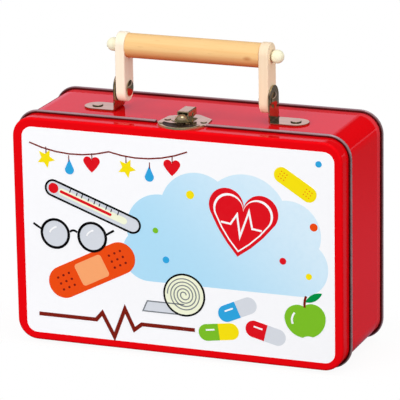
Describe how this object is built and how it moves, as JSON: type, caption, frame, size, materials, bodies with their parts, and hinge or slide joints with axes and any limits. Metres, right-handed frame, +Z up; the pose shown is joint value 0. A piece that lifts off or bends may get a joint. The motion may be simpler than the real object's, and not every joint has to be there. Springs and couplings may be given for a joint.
{
  "type": "toy doctor case",
  "caption": "Red tinplate toy doctor case with a book-opening lid, rocking latch and swinging wooden carry handle.",
  "frame": {"origin": "on the floor under the middle of the closed case, with the handle upright", "axes": "+X to the right seen from the lid, +Y from the lid to the back panel, +Z up towards the handle"},
  "size_m": [0.2648, 0.09, 0.2361],
  "materials": {
    "red_tinplate": "gloss litho print on tinplate, bare inside",
    "nickel_steel": "bright nickel plate",
    "hinge_steel": "plain zinc-plated steel",
    "spring_steel": "drawn spring wire",
    "grip_wood": "clear-lacquered turned dowel",
    "arm_wood": "sanded pale wood",
    "peg_wood": "sanded pale wood"
  },
  "bodies": {
    "case_body": {"body_band": "red_tinplate", "back_panel": "red_tinplate", "bracket_foot_rivets": "nickel_steel", "bracket_foot_washers": "hinge_steel", "latch_base": "nickel_steel", "latch_base_rivets": "nickel_steel", "latch_pin": "nickel_steel", "latch_spring": "spring_steel", "hinge_body_rivets": "hinge_steel", "handle_bracket_left": "nickel_steel", "handle_bracket_right": "nickel_steel", "handle_rivet_left": "nickel_steel", "handle_rivet_right": "nickel_steel", "hinge_body_leaf_left": "hinge_steel", "hinge_body_leaf_right": "hinge_steel", "hinge_pin_left": "hinge_steel", "hinge_pin_right": "hinge_steel"},
    "lid": {"lid_shell": "red_tinplate", "catch_plate": "nickel_steel", "catch_rivets": "nickel_steel", "hinge_lid_rivets": "hinge_steel", "hinge_lid_leaf_left": "hinge_steel", "hinge_lid_leaf_right": "hinge_steel"},
    "handle": {"handle_grip": "grip_wood", "handle_arm_left": "arm_wood", "handle_arm_right": "arm_wood", "grip_peg_left": "peg_wood", "grip_peg_right": "peg_wood"},
    "latch": {"latch_lever": "nickel_steel"}
  },
  "joints": [
    {"name": "lid_hinge", "type": "hinge", "parent": "case_body", "child": "lid", "pos_m": [0, -0.0298, 0.0014], "axis": [1, 0, 0], "range_deg": [0, 170]},
    {"name": "handle_swing", "type": "hinge", "parent": "case_body", "child": "handle", "pos_m": [0, 0, 0.1929], "axis": [1, 0, 0], "range_deg": [-98, 80]},
    {"name": "latch_rock", "type": "hinge", "parent": "case_body", "child": "latch", "pos_m": [0, -0.0167, 0.1816], "axis": [-1, 0, 0], "range_deg": [0, 22], "stiffness_Nm_per_rad": 0.02, "springref_deg": -28.65, "deforming": ["latch_spring"]}
  ]
}
